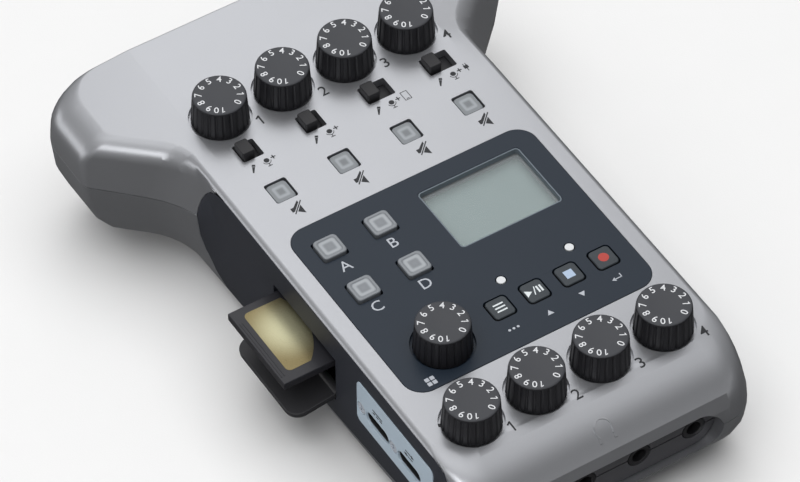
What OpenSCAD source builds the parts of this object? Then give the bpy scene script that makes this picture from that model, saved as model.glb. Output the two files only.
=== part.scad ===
// Four channel podcast recorder: wedge case, control panel, sockets, card bay and battery bay.
// Frame: millimetres, +Z up, -Y is the front with the headphone sockets, feet rest on z = 0.

/* [Case] */
// slope of the control panel, rear edge higher
tilt = 4; // [3:0.5:5]
// width over the rear wings
head_width = 112; // [110:1:116]
// width of the straight body
body_width = 73.6; // [72.8:0.4:76]
// length along the control panel
case_length = 155.6; // [153:0.2:159]
// height from the table to the top of the gain knobs
overall_height = 47; // [46:0.5:50]
// depth of the joint between top cover and bottom case
parting_depth = 13; // [12.5:0.25:13.5]
// shell thickness
wall = 2.2; // [2:0.1:2.4]
// rubber foot height
foot_height = 1; // [0.6:0.1:1.6]

/* [Knobs] */
// spacing of the four channels
channel_pitch = 16.5; // [16:0.25:17]
// knob diameter at its skirt
knob_diameter = 13.4; // [12.4:0.2:13.8]
// knob top above the panel
knob_height = 7.4; // [6:0.2:9]
// depth of the round pocket under each knob
pocket_depth = 1; // [0.8:0.1:1.1]

/* [Switches and keys] */
// slide switch cap width
switch_cap = 3.2; // [2.8:0.1:3.6]
// slide switch step from one position to the next
switch_step = 1.75; // [1.5:0.05:2]
// mute key width
mute_width = 5.1; // [4.6:0.1:5.6]
// sound pad width
pad_width = 6; // [5.4:0.1:6.4]
// transport key width
key_width = 5.3; // [4.8:0.1:5.6]
// press depth of every key
key_travel = 0.6; // [0.4:0.1:0.7]

/* [Display panel] */
// dark panel width
panel_width = 63.6; // [62.6:0.2:64.4]
// dark panel length
panel_length = 54.6; // [54:0.2:55.4]
// dark panel thickness
panel_thickness = 1.4; // [1.2:0.1:1.5]
// display window width
window_width = 26.8; // [24:0.4:27.6]
// display window length
window_length = 19; // [17:0.5:20]

/* [Sockets] */
// spacing of the microphone sockets
xlr_pitch = 24.5; // [23:0.25:24.75]
// bore of a microphone socket
xlr_bore = 19.6; // [19.2:0.1:19.8]
// spacing of the headphone sockets
jack_pitch = 14.2; // [13:0.2:15]
// bore of a headphone socket
jack_bore = 3.6; // [3.55:0.05:3.7]

/* [Card bay] */
// memory card width
card_width = 24; // [23.6:0.1:24.2]
// memory card thickness
card_thickness = 2.1; // [1.8:0.1:2.2]
// how far the card stands out of the case
card_out = 12.2; // [11:0.2:13]
// angle of the open card door from its closed place
door_open = 98; // [92:1:100]

/* [Battery bay] */
// cell diameter
cell_diameter = 14.5; // [14:0.1:14.6]
// cell length
cell_length = 50.5; // [49.5:0.1:50.8]

/* [Hidden] */
$fn = 48;

// clearances
key_gap = 0.25;
transport_gap = 0.35;
seat_gap = 0.12;
rim_gap = 0.2;
run_gap = 0.05;

// case reference places, measured in the sloping frame of the control panel
rear_y = case_length / 2;
front_y = -case_length / 2;
gain_y = rear_y - 29.8;
panel_height = overall_height - knob_height * cos(tilt) - (gain_y + knob_diameter / 2) * sin(tilt);
rear_low = 31.5;
front_reach = front_y * cos(tilt) + parting_depth * sin(tilt);
rear_reach = rear_y * cos(tilt) + rear_low * sin(tilt);
seat_shift = -(front_reach + rear_reach) / 2;
body_half = body_width / 2;
head_half = head_width / 2;
arc_steps = 6;
levels = [for (i = [0:8]) 1 - pow(1 - i / 8, 2.6)];

// shell rolls
side_roll = 1.4;
nose_roll = 15.8;
rear_roll = 0.9;
wing_draft = 0.8;
wing_edge = 7;
shoulder_draft = 3.2;
shoulder_edge = 3.6;
tip_y = rear_y - 21.35;
shoulder_c = tip_y - head_half;
side_under = 7;
nose_under = 16;
rear_under = 6;
wing_under = head_half - body_half + side_under - 4.2;
shoulder_under = 18;

// heights inside the case, measured down from the panel
board_top = -8.2;
board_thick = 1.4;
main_top = -17;
main_thick = 1.4;
pot_top = -3;
switch_top = -5.2;
jack_z = -14.4;
usb_z = -13.7;
card_top = -10.5;

// control places on the panel
channel_x = [for (i = [-1.5:1:1.5]) i * channel_pitch];
pocket_d = knob_diameter + 1.2;
shaft_r = 3;
mute_length = mute_width + 0.7;
key_length = key_width + 0.3;
slot_margin = 0.2;
switch_depth = 4.2;
slot_depth = switch_depth + 1.3;
phones_y = front_y + 21.2;

// display panel between the headphone knobs and the switch rows, its parts placed from its edges
panel_x = 0.1;
panel_left = panel_x - panel_width / 2;
panel_right = panel_x + panel_width / 2;
panel_front = phones_y + pocket_d / 2 + 4.3;
panel_rear = panel_front + panel_length;
panel_y = (panel_front + panel_rear) / 2;
pad_x = [panel_left + 7, panel_left + 20.15];
pad_y = [panel_rear - 8.5, panel_rear - 22.6];
level_x = panel_left + 13.3;
level_y = panel_front + 9.8;
key_first = level_x + pocket_d / 2 + 8.75;
key_last = panel_right - 7.2;
key_x = [for (i = [0:3]) key_first + (key_last - key_first) * i / 3];
key_y = panel_front + 11.7;
window_x = panel_right - window_width / 2 - 5.1;
window_y = panel_rear - window_length / 2 - 5;
lamp_x = [panel_right - 29.7, panel_right - 11.8];
lamp_y = panel_front + 18.35;

// switch and mute rows share the free length between gain pockets and display panel
row_free = gain_y - pocket_d / 2 - panel_rear - slot_depth - mute_length - 2 * key_gap;
switch_y = gain_y - pocket_d / 2 - slot_depth / 2 - row_free * 0.10622;
mute_y = panel_rear + mute_length / 2 + key_gap + row_free * 0.46373;
two_slot = switch_cap + switch_step + 2 * slot_margin;
three_slot = two_slot + switch_step;
slot_w = [two_slot, two_slot, three_slot, three_slot];
ledge = 3;

// side walls, plates and the front opening
side_rear = tip_y - 20.95;
side_front = front_y + 11.8;
side_top = -1.2;
side_inner = body_half - wall - 1.7;
plate_y = front_y + 32.9;
plate_w = 30.7;
plate_z = -12.2;
plate_h = 12.9;
plate_out = 0.15;
plate_in = 1.6;
usb_y = [plate_y + 6.9, plate_y - 5.9];
screw_y = [plate_y + 13.5, plate_y + 0.6];
right_screw_y = [plate_y + 13.5, plate_y - 13.1];
strip_half = 27;
strip_top = -8.4;
strip_low = -20.4;
strip_y = front_y + 3.5;
strip_thick = 2;
collar = 1.6;
phone_y = plate_y + 7.9;
power_y = plate_y - 6.1;
power_travel = 3;

// microphone sockets
xlr_x = [for (i = [-1.5:1:1.5]) i * xlr_pitch];
xlr_z = -19;
xlr_r = xlr_bore / 2 + 0.9;
xlr_long = 21;
rear_half = 1.5 * xlr_pitch + xlr_r + 1.6;
rear_high = -6.5;

// card bay
card_y = plate_y + 37.9;
card_length = 32;
bay_w = card_width + 2;
bay_y = card_y - 0.5;
bay_top = -8.6;
hinge_r = 1.2;
hinge_x = -body_half + 1;
hinge_z = card_top - card_thickness - 8.3;
bay_low = hinge_z - hinge_r - 0.3;
door_thick = 1.5;
door_high = bay_top - 0.3;
door_w = bay_w - 0.6;
door_corner = 3.4;
pin_r = 0.5;

// battery bay, places on the level underside
cell_pitch = cell_diameter + 1;
cell_y = [21, 21 + cell_pitch];
door_plate = 2;
bay_half_x = cell_length / 2 + 0.4;
door_front = cell_y[0] - cell_diameter / 2 - 0.6;
door_rear = cell_y[1] + cell_diameter / 2 + 0.6;
cell_z = foot_height + door_plate + 0.3 + cell_diameter / 2;
foot_r = 6;
foot_front = front_y + 27.8;
foot_rear = rear_y - 17.8;
foot_at = [[-20, foot_front], [20, foot_front], [-22, foot_rear], [22, foot_rear]];
screw_front = front_y + 47.8;
screw_rear = door_front - 5.15;
screw_at = [[-22, screw_front], [22, screw_front], [-24, screw_rear], [24, screw_rear]];
door_axis_y = door_front + 0.25 + door_plate / 2;
door_axis_z = foot_height + door_plate / 2;

// circuit boards
control_half = body_half - 5.6;
control_front = phones_y - 6.9;
control_rear = gain_y + 6.6;
main_half = body_half - 4.4;
main_front = front_y + 9.2;
main_rear = door_front - 6.55;
post_y = [main_rear - 18.6, main_front + 26.6, main_front + 14.6];

// panel frame to table frame
module seat() {
    translate([0, seat_shift, panel_height]) rotate([tilt, 0, 0]) children();
}

// underside plane in the panel frame
function base_z(y) = (foot_height - panel_height - y * sin(tilt)) / cos(tilt);
function fall(u, n) = u <= 0 ? 0 : u >= 1 ? 1 : 1 - pow(1 - pow(u, n), 1 / n);
function mix(a, b, t) = a + (b - a) * t;
function unit(v) = v / norm(v);
function flat(p) = [p[0], p[1]];

// inward lean of a drafted wall of the cover that ends in a round edge
function lean(u, draft, edge) =
    let (t = max(0, 1 - parting_depth * (1 - u) / edge))
    draft * u + edge * (1 - sqrt(max(0, 1 - t * t)));

// round one corner of an outline, points run from edge a-b to edge b-c
function corner(a, b, c, r) =
    let (
        ua = unit(a - b),
        uc = unit(c - b),
        half = acos(ua * uc) / 2,
        centre = b + unit(ua + uc) * (r / sin(half)),
        first = b + ua * (r / tan(half)) - centre,
        last = b + uc * (r / tan(half)) - centre,
        from = atan2(first[1], first[0]),
        turn = (atan2(last[1], last[0]) - from + 900) % 360 - 180
    )
    [for (i = [0:arc_steps])
        centre + r * [cos(from + turn * i / arc_steps), sin(from + turn * i / arc_steps)]];

function rounded(v) =
    let (n = len(v))
    [for (i = [0:n - 1])
        each corner(flat(v[(i + n - 1) % n]), flat(v[i]), flat(v[(i + 1) % n]), v[i][2])];

function mirrored(v) = concat(v, [for (i = [len(v) - 1:-1:0]) [-v[i][0], v[i][1], v[i][2]]]);

// plan outline at a level: half widths, rear, front, shoulder line, corner radii
function plan(hw, bw, yr, yf, c, ra, rb, rc, rd) =
    rounded(mirrored([[hw, yr, ra], [hw, hw + c, rb], [bw, bw + c, rc], [bw, yf, rd]]));

function cover_plan(u, w) = plan(
    head_half - lean(u, wing_draft, wing_edge) - w,
    body_half - lean(u, 0, side_roll) - w,
    rear_y - rear_roll * fall(u, 3) - w,
    front_y + nose_roll * fall(u, 2) + w,
    shoulder_c + sqrt(2) * (lean(u, shoulder_draft, shoulder_edge) + w),
    max(8 - w, 0.6), max(mix(3.5, 5, u) - w, 0.6), mix(30, 12, u) + w, max(8 - w, 0.6));

function case_plan(u, w) = plan(
    head_half - wing_under * fall(u, 2) - w,
    body_half - side_under * fall(u, 4) - w,
    rear_y - rear_under * fall(u, 4) - w,
    front_y + nose_under * fall(u, 2) + w,
    shoulder_c + sqrt(2) * (shoulder_under * fall(u, 2) + w),
    max(mix(8, 6, u) - w, 0.6), max(mix(3.5, 3, u) - w, 0.6), mix(30, 18, u) + w, max(8 - w, 0.6));

function cover_ring(u, w) =
    [for (p = cover_plan(u, w)) [p[0], p[1], mix(-parting_depth, -w, u)]];
function case_ring(u, w) =
    [for (p = case_plan(u, w)) [p[0], p[1], mix(-parting_depth, base_z(p[1]) + w, u)]];

// close a mirrored ring of n points with strips from its right to its left half
function strips(n, first) =
    [for (i = [0:n / 2 - 2]) [first + i, first + i + 1, first + n - 2 - i, first + n - 1 - i]];
function turned(faces) = [for (f = faces) [for (i = [len(f) - 1:-1:0]) f[i]]];

// skin a stack of equal rings, lowest ring first
module loft(rings) {
    n = len(rings[0]);
    m = len(rings);
    sides = [for (k = [0:m - 2]) for (i = [0:n - 1])
        let (j = (i + 1) % n)
        each [[k * n + j, (k + 1) * n + j, (k + 1) * n + i], [k * n + j, (k + 1) * n + i, k * n + i]]];
    ends = concat(turned(strips(n, 0)), strips(n, (m - 1) * n));
    polyhedron(points = [for (r = rings) each r], faces = concat(sides, ends), convexity = 8);
}

// skin a cup: rings of the outside and of the inside, both from the rim to the closed end
module cup(outside, inside, flip) {
    n = len(outside[0]);
    m = len(outside);
    near = [for (r = outside) each r];
    far = [for (r = inside) each r];
    skin = [for (k = [0:m - 2]) for (i = [0:n - 1])
        let (j = (i + 1) % n)
        each [[k * n + j, (k + 1) * n + j, (k + 1) * n + i], [k * n + j, (k + 1) * n + i, k * n + i]]];
    lining = [for (t = skin) [t[2] + m * n, t[1] + m * n, t[0] + m * n]];
    rim = [for (i = [0:n - 1])
        let (j = (i + 1) % n)
        each [[j, i, m * n + i], [j, m * n + i, m * n + j]]];
    ends = concat(strips(n, (m - 1) * n), turned(strips(n, (2 * m - 1) * n)));
    faces = concat(skin, lining, rim, ends);
    polyhedron(points = concat(near, far), convexity = 8, faces = flip ? turned(faces) : faces);
}

// whole outside of the case, shrunk by w
module case_solid(w) {
    loft(concat([for (i = [len(levels) - 1:-1:1]) case_ring(levels[i], w)],
        [for (u = levels) cover_ring(u, w)]));
}

// y-z outline of the nose, shrunk by w, closed behind
function nose_outline(w) = concat(
    [[0, -w]],
    [for (i = [len(levels) - 1:-1:0])
        [front_y + nose_roll * fall(levels[i], 2) + w, mix(-parting_depth, -w, levels[i])]],
    [for (i = [1:len(levels) - 1])
        let (y = front_y + nose_under * fall(levels[i], 2) + w)
        [y, mix(-parting_depth, base_z(y) + w, levels[i])]],
    [[0, base_z(0) + w]]);

// lining of the socket opening in the nose
module nose_lining() {
    intersection() {
        capsule_y(strip_half, strip_low, strip_top, collar, front_y, strip_y + strip_thick);
        side_prism(nose_outline(0.6), -strip_half - 4, strip_half + 4);
    }
}

// flat helpers
module plate(w, l, r, z0, z1) {
    translate([0, 0, z0]) linear_extrude(z1 - z0) round_rect(w, l, r);
}

module round_rect(w, l, r) {
    union() {
        square([w - 2 * r, l], center = true);
        square([w, l - 2 * r], center = true);
        for (x = [-1, 1]) {
            for (y = [-1, 1]) {
                translate([x * (w / 2 - r), y * (l / 2 - r)]) circle(r);
            }
        }
    }
}

module block(x0, x1, y0, y1, z0, z1) {
    translate([x0, y0, z0]) cube([x1 - x0, y1 - y0, z1 - z0]);
}

module drum(r, z0, z1) {
    translate([0, 0, z0]) cylinder(r = r, h = z1 - z0);
}

// bar along y from y0 to y1
module bar_y(r, y0, y1) {
    translate([0, y0, 0]) rotate([-90, 0, 0]) cylinder(r = r, h = y1 - y0);
}

// capsule seen along y, x half length and z limits
module capsule_y(half, low, high, grow, y0, y1) {
    r = (high - low) / 2 + grow;
    mid = (high + low) / 2;
    translate([0, y1, mid]) rotate([90, 0, 0]) linear_extrude(y1 - y0) {
        square([2 * half - (high - low), 2 * r], center = true);
        for (s = [-1, 1]) {
            translate([s * (half - (high - low) / 2), 0]) circle(r);
        }
    }
}

// prism over a y-z outline, from x0 to x1
module side_prism(pts, x0, x1) {
    multmatrix([[0, 0, 1, x0], [1, 0, 0, 0], [0, 1, 0, 0], [0, 0, 0, 1]])
        linear_extrude(x1 - x0) polygon(pts);
}

function side_outline(g) =
    let (
        low_rear = base_z(side_rear) + 2.2,
        low_front = base_z(side_front) + 6.6,
        tall = side_top - low_rear
    )
    rounded([[side_rear + g, side_top + g, tall * 0.28 + g], [side_front - g, side_top + g, 5 + g],
        [side_front - g, low_front - g, 8 + g], [side_rear + g, low_rear - g, tall * 0.35 + g]]);

module side_cut(s, g) {
    side_prism(side_outline(g), s > 0 ? side_inner : -64, s > 0 ? 64 : -side_inner);
}

// round pocket and spindle hole under a knob
module knob_cut(deep) {
    drum(pocket_d / 2, -pocket_depth, 1);
    drum(shaft_r + 0.5, -deep, 1);
}

module key_cut(w, l, gap = key_gap, corner = 0.6) {
    plate(w + 2 * gap, l + 2 * gap, corner, -4, 2);
}

module top_cover() {
    color("silver") seat() difference() {
        union() {
            cup([for (u = levels) cover_ring(u, 0)], [for (u = levels) cover_ring(u, wall)], false);
            for (p = [[-channel_pitch, gain_y + 3.6], [channel_pitch, gain_y + 3.6],
                    [-channel_pitch, mute_y], [channel_pitch, mute_y], [0, phones_y + 8.2],
                    [channel_x[0] - 3.75, phones_y + 8.2], [channel_x[3] + 3.75, phones_y + 8.2]]) {
                translate([p[0], p[1], 0]) drum(2, board_top, -wall + 0.4);
            }
            difference() {
                nose_lining();
                block(-60, 60, front_y - 5, 0, -40, -parting_depth);
            }
        }
        for (x = channel_x) {
            translate([x, gain_y, 0]) knob_cut(4);
            translate([x, phones_y, 0]) knob_cut(4);
            translate([x, mute_y, 0]) key_cut(mute_width, mute_length);
        }
        for (i = [0:3]) {
            translate([channel_x[i] - two_slot / 2 + slot_w[i] / 2, switch_y, 0])
                plate(slot_w[i], slot_depth, 0.4, -4, 2);
        }
        translate([panel_x, panel_y, 0])
            plate(panel_width + 2 * seat_gap, panel_length + 2 * seat_gap, 5, -panel_thickness, 2);
        translate([panel_x, panel_y, 0])
            plate(panel_width - 2 * ledge, panel_length - 2 * ledge, 3, -4, 2);
        translate([level_x, level_y, 0]) drum(pocket_d / 2 + 1.3, -4, 2);
        capsule_y(strip_half, strip_low, strip_top, 0, front_y - 5, front_y + 9);
        side_cut(1, seat_gap);
        side_cut(-1, seat_gap);
        rear_cut(seat_gap);
    }
}

module rear_cut(g) {
    translate([0, rear_y + 4, (rear_high - rear_low) / 2]) rotate([90, 0, 0])
        plate(2 * rear_half + 2 * g, rear_low + rear_high + 2 * g, 9, 0, 10);
}

module bottom_case() {
    color("silver") difference() {
        union() {
            seat() {
                cup([for (u = levels) case_ring(u, 0)], [for (u = levels) case_ring(u, wall)], true);
                difference() {
                    nose_lining();
                    block(-60, 60, front_y - 5, 0, -parting_depth, 5);
                }
                for (p = [[24, post_y[0]], [24, post_y[1]], [16, post_y[2]]]) {
                    for (s = [-1, 1]) {
                        translate([s * p[0], p[1], 0]) drum(2.4, base_z(p[1]) + 1, main_top - main_thick);
                    }
                }
            }
            for (s = [-1, 1]) {
                block(s * (bay_half_x + 0.9) - 0.8, s * (bay_half_x + 0.9) + 0.8,
                    door_front + 2, door_rear - 2, foot_height + 0.8, cell_z + 5);
            }
            for (p = screw_at) {
                translate([p[0], p[1], 0]) drum(3.4, foot_height + 0.8, foot_height + 8);
            }
        }
        seat() {
            capsule_y(strip_half, strip_low, strip_top, 0, front_y - 5, front_y + 9);
            side_cut(1, seat_gap);
            side_cut(-1, seat_gap);
            rear_cut(seat_gap);
        }
        block(-bay_half_x, bay_half_x, door_front, door_rear, -1, foot_height + 4);
        door_bar(pin_r + run_gap, bay_half_x + 1);
        for (p = screw_at) {
            translate([p[0], p[1], 0]) {
                drum(3.2, foot_height - 1, foot_height + 2);
                drum(1.6, foot_height - 1, foot_height + 9);
            }
        }
    }
}

// dark wall on one side, with its openings
module side_panel(s) {
    difference() {
        intersection() {
            case_solid(0);
            side_cut(s, 0);
        }
        case_solid(wall);
        translate([s * (body_half - 2), plate_y, plate_z]) rotate([0, 90, 0])
            plate(plate_h + 2 * seat_gap, plate_w + 2 * seat_gap, 1.6, -6, 6);
        children();
    }
}

module side_panel_left() {
    color("dimgray") seat() side_panel(-1) {
        union() {
            block(-body_half - 4, -body_half + 6, bay_y - bay_w / 2, bay_y + bay_w / 2, bay_low, bay_top);
            translate([hinge_x, 0, hinge_z])
                bar_y(pin_r + 0.02, bay_y - bay_w / 2 - 2.2, bay_y + bay_w / 2 + 2.2);
        }
    }
}

module side_panel_right() {
    color("dimgray") seat() side_panel(1) {
        block(0, 1, 0, 1, 0, 1);
    }
}

module front_jack_panel() {
    color("dimgray") seat() difference() {
        capsule_y(strip_half, strip_low, strip_top, -seat_gap, strip_y, strip_y + strip_thick);
        block(-strip_half, strip_half, strip_y - 1, strip_y + 0.5, jack_z - 0.2, jack_z + 0.2);
        for (i = [-1.5:1:1.5]) {
            translate([i * jack_pitch, 0, jack_z])
                bar_y(jack_bore / 2 + 1 + rim_gap, strip_y - 1, strip_y + 5);
        }
    }
}

module rear_socket_panel() {
    color("dimgray") seat() difference() {
        translate([0, rear_y, (rear_high - rear_low) / 2]) rotate([90, 0, 0])
            plate(2 * rear_half, rear_low + rear_high, 9 - seat_gap, 0, wall);
        for (x = xlr_x) {
            translate([x, 0, xlr_z]) bar_y(xlr_r + rim_gap, rear_y - 5, rear_y + 2);
        }
    }
}

module display_panel() {
    color("slategray") seat() difference() {
        union() {
            translate([panel_x, panel_y, 0])
                plate(panel_width, panel_length, 5 - seat_gap, -panel_thickness, 0.1);
            translate([level_x, level_y, 0]) drum(pocket_d / 2 + 1, -pocket_depth - 1.2, -0.5);
        }
        translate([window_x, window_y, 0]) plate(window_width, window_length, 1, -4, 2);
        for (x = pad_x) {
            for (y = pad_y) {
                translate([x, y, 0]) key_cut(pad_width, pad_width);
            }
        }
        for (x = key_x) {
            translate([x, key_y, 0]) key_cut(key_width, key_length, transport_gap, 1.2);
        }
        for (x = lamp_x) {
            translate([x, lamp_y, 0]) drum(1.3, -4, 2);
        }
        translate([level_x, level_y, 0]) knob_cut(4);
    }
}

module display_window() {
    color("lightcyan") seat() translate([window_x, window_y, 0])
        plate(window_width + 2, window_length + 2, 1, -panel_thickness - 1, -panel_thickness - 0.1);
}

module lcd_module() {
    color("darkseagreen") seat() translate([window_x, window_y, 0])
        plate(window_width + 3, window_length + 3, 0.8, board_top, -panel_thickness - 1.9);
}

module indicator_lights() {
    color("white") seat() for (x = lamp_x) {
        translate([x, lamp_y, 0]) drum(1.05, board_top, 0.15);
    }
}

// fluted knob with its moulded spindle, turning about z
module knob() {
    foot_r1 = knob_diameter / 2;
    top_r = foot_r1 - 0.5;
    lean = atan(0.5 / (knob_height + pocket_depth - 0.4));
    union() {
        difference() {
            rotate_extrude() polygon([[0, -pocket_depth + 0.4], [foot_r1, -pocket_depth + 0.4],
                [top_r, knob_height - 0.5], [top_r - 0.5, knob_height], [top_r - 1.6, knob_height],
                [top_r - 2, knob_height - 0.25], [0, knob_height - 0.25]]);
            for (a = [0:15:345]) {
                rotate([0, 0, a + 7.5]) translate([foot_r1 + 0.12, 0, -pocket_depth])
                    rotate([0, -lean, 0]) cylinder(r = 0.42, h = knob_height - 0.4 + pocket_depth, $fn = 24);
            }
        }
        drum(shaft_r, board_top + 0.9, 0);
    }
}

module knob_at(x, y) {
    color("black") seat() translate([x, y, 0]) knob();
}

module gain_knob_1() {
    knob_at(channel_x[0], gain_y);
}

module gain_knob_2() {
    knob_at(channel_x[1], gain_y);
}

module gain_knob_3() {
    knob_at(channel_x[2], gain_y);
}

module gain_knob_4() {
    knob_at(channel_x[3], gain_y);
}

module pad_level_knob() {
    knob_at(level_x, level_y);
}

module phones_knob_1() {
    knob_at(channel_x[0], phones_y);
}

module phones_knob_2() {
    knob_at(channel_x[1], phones_y);
}

module phones_knob_3() {
    knob_at(channel_x[2], phones_y);
}

module phones_knob_4() {
    knob_at(channel_x[3], phones_y);
}

// slide switch cap resting at the left end of its slot, with shutter and tongue below the cover
module input_switch(i) {
    left = -two_slot / 2 + slot_margin;
    travel = slot_w[i] - 2 * slot_margin - switch_cap;
    color("black") seat() translate([channel_x[i], switch_y, 0]) {
        translate([left + switch_cap / 2, 0, 0]) plate(switch_cap, switch_depth, 0.5, -wall - 0.8, 2);
        block(left - travel - 0.6, left + switch_cap + travel + 0.6, -slot_depth / 2 - 0.7,
            slot_depth / 2 + 0.7, -wall - 0.9, -wall - 0.2);
        block(left + switch_cap / 2 - 0.8, left + switch_cap / 2 + 0.8, -1, 1, -6.4, -wall - 0.5);
    }
}

module input_switch_1() {
    input_switch(0);
}

module input_switch_2() {
    input_switch(1);
}

module input_switch_3() {
    input_switch(2);
}

module input_switch_4() {
    input_switch(3);
}

// key cap with a retaining flange and a stem that reaches its switch
module key(w, l, top, under) {
    plate(w, l, 0.5, under - 0.9, top);
    plate(w + 1.4, l + 1.4, 0.8, under - 1.1, under - 0.3);
    drum(1.5, switch_top + key_travel + 0.2, under - 0.6);
}

module mute_key(i) {
    color("darkgray") seat() translate([channel_x[i], mute_y, 0])
        key(mute_width, mute_length, -0.3, -wall);
}

module mute_key_1() {
    mute_key(0);
}

module mute_key_2() {
    mute_key(1);
}

module mute_key_3() {
    mute_key(2);
}

module mute_key_4() {
    mute_key(3);
}

module sound_pad(i, j) {
    color("darkgray") seat() translate([pad_x[i], pad_y[j], 0])
        key(pad_width, pad_width, 1, -panel_thickness);
}

module sound_pad_a() {
    sound_pad(0, 0);
}

module sound_pad_b() {
    sound_pad(1, 0);
}

module sound_pad_c() {
    sound_pad(0, 1);
}

module sound_pad_d() {
    sound_pad(1, 1);
}

module transport_key(i) {
    color("gray") seat() translate([key_x[i], key_y, 0])
        key(key_width, key_length, 0.3, -panel_thickness);
}

module menu_key() {
    transport_key(0);
}

module play_key() {
    transport_key(1);
}

module stop_key() {
    transport_key(2);
}

module record_key() {
    transport_key(3);
}

// rotary control body standing on the control board
module pot() {
    difference() {
        union() {
            block(-4.8, 4.8, -5.4, 5.4, board_top, pot_top - 1);
            drum(4.4, pot_top - 1.2, pot_top);
        }
        drum(shaft_r + run_gap, board_top + 0.6, 0);
    }
}

module potentiometers() {
    color("darkslategray") seat() {
        for (x = channel_x) {
            translate([x, gain_y, 0]) pot();
            translate([x, phones_y, 0]) pot();
        }
        translate([level_x, level_y, 0]) pot();
    }
}

// slide switch bodies on the board, each with a slot for the tongue
module slide_switch_bodies() {
    left = -two_slot / 2 + slot_margin + switch_cap / 2;
    color("lightgray") seat() for (i = [0:3]) {
        travel = slot_w[i] - 2 * slot_margin - switch_cap;
        translate([channel_x[i], switch_y, 0]) difference() {
            block(left - 2.6, left + travel + 2.6, -2.6, 2.6, board_top, -4);
            block(left - 1.1, left + travel + 1.1, -1.3, 1.3, board_top + 1, 0);
        }
    }
}

module key_switches() {
    color("dimgray") seat() {
        for (x = channel_x) {
            translate([x, mute_y, 0]) block(-3, 3, -3, 3, board_top, switch_top);
        }
        for (x = pad_x) {
            for (y = pad_y) {
                translate([x, y, 0]) block(-3, 3, -3, 3, board_top, switch_top);
            }
        }
        for (x = key_x) {
            translate([x, key_y, 0]) block(-3, 3, -3, 3, board_top, switch_top);
        }
    }
}

module control_board() {
    color("darkgreen") seat()
        block(-control_half, control_half, control_front, control_rear, board_top - board_thick, board_top);
}

module main_board() {
    color("darkgreen") seat() difference() {
        block(-main_half, main_half, main_front, main_rear, main_top - main_thick, main_top);
        for (s = [-1, 1]) {
            translate([s * main_half, main_front, main_top]) rotate([0, 0, 45])
                cube([10, 10, 12], center = true);
        }
    }
}

// microphone socket with a round insert and three contact holes
module xlr_socket(i) {
    color("black") seat() translate([xlr_x[i], 0, xlr_z]) difference() {
        bar_y(xlr_r, rear_y - xlr_long, rear_y);
        difference() {
            bar_y(xlr_bore / 2, rear_y - xlr_long + 3, rear_y + 1);
            bar_y(7.6, rear_y - xlr_long, rear_y - 1.4);
        }
        for (a = [30, 150, 270]) {
            translate([4 * cos(a), 0, 4 * sin(a)]) bar_y(1.4, rear_y - xlr_long + 6, rear_y);
        }
    }
}

module xlr_socket_1() {
    xlr_socket(0);
}

module xlr_socket_2() {
    xlr_socket(1);
}

module xlr_socket_3() {
    xlr_socket(2);
}

module xlr_socket_4() {
    xlr_socket(3);
}

// small jack socket, mouth at y = 0 facing the front, standing on the main board
module mini_socket() {
    nose = jack_bore / 2 + 1;
    difference() {
        union() {
            bar_y(nose, 0, 4);
            block(-3.1, 3.1, 2.4, 14.4, main_top - jack_z, 2.6);
        }
        bar_y(jack_bore / 2, -1, 13.2);
    }
}

module headphone_sockets() {
    color("black") seat() for (i = [-1.5:1:1.5]) {
        translate([i * jack_pitch, strip_y, jack_z]) mini_socket();
    }
}

module phone_socket() {
    color("black") seat() translate([body_half, phone_y, jack_z]) rotate([0, 0, 90]) mini_socket();
}

// reversible data and power socket with its tongue, mouth on the left wall
module usb_socket(y) {
    color("silver") seat() translate([-body_half + 0.3, y, usb_z]) {
        difference() {
            rotate([0, 90, 0]) plate(3.2, 8.9, 1.59, 0, 7.6);
            rotate([0, 90, 0]) plate(2.6, 8.3, 1.29, -1, 6.6);
        }
        block(1.2, 7, -3.3, 3.3, -0.35, 0.35);
        block(2.4, 7.6, -4.2, 4.2, main_top - usb_z, -1.45);
    }
}

module usb_power_socket() {
    usb_socket(usb_y[0]);
}

module usb_data_socket() {
    usb_socket(usb_y[1]);
}

// plate set in a side wall, drawn about the wall face, outward along +x
module port_plate(screws) {
    difference() {
        rotate([0, 90, 0]) plate(plate_h, plate_w, 1.5, -plate_in, plate_out);
        for (y = screws) {
            translate([0, y - plate_y, usb_z - plate_z]) rotate([0, 90, 0]) {
                drum(1.6, -0.75, 1);
                drum(0.95, -3, 1);
            }
        }
        children();
    }
}

module port_plate_left() {
    color("lightsteelblue") seat() translate([-body_half, plate_y, plate_z])
            mirror([1, 0, 0]) port_plate(screw_y) {
        for (y = usb_y) {
            translate([0, y - plate_y, usb_z - plate_z]) rotate([0, 90, 0]) plate(3.6, 9.3, 1.79, -3, 2);
        }
    }
}

module port_plate_right() {
    color("lightsteelblue") seat() translate([body_half, plate_y, plate_z]) port_plate(right_screw_y) {
        union() {
            translate([0, phone_y - plate_y, jack_z - plate_z]) rotate([0, 0, 90])
                bar_y(jack_bore / 2 + 1 + rim_gap, -3, 3);
            translate([0, power_y + power_travel / 2 - plate_y, 0]) rotate([0, 90, 0])
                plate(3.2, 3.4 + power_travel, 0.4, -3, 2);
        }
    }
}

// pan head screws of both port plates
module plate_screws() {
    color("gainsboro") seat() for (s = [-1, 1]) {
        for (y = s > 0 ? right_screw_y : screw_y) {
            translate([s * body_half, y, usb_z]) mirror([s > 0 ? 0 : 1, 0, 0]) rotate([0, 90, 0])
                difference() {
                    union() {
                        drum(1.45, -0.7, 0.1);
                        drum(0.85, -3.4, -0.5);
                    }
                    plate(1.8, 0.4, 0.1, -0.25, 1);
                    plate(0.4, 1.8, 0.1, -0.25, 1);
                }
        }
    }
}

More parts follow.
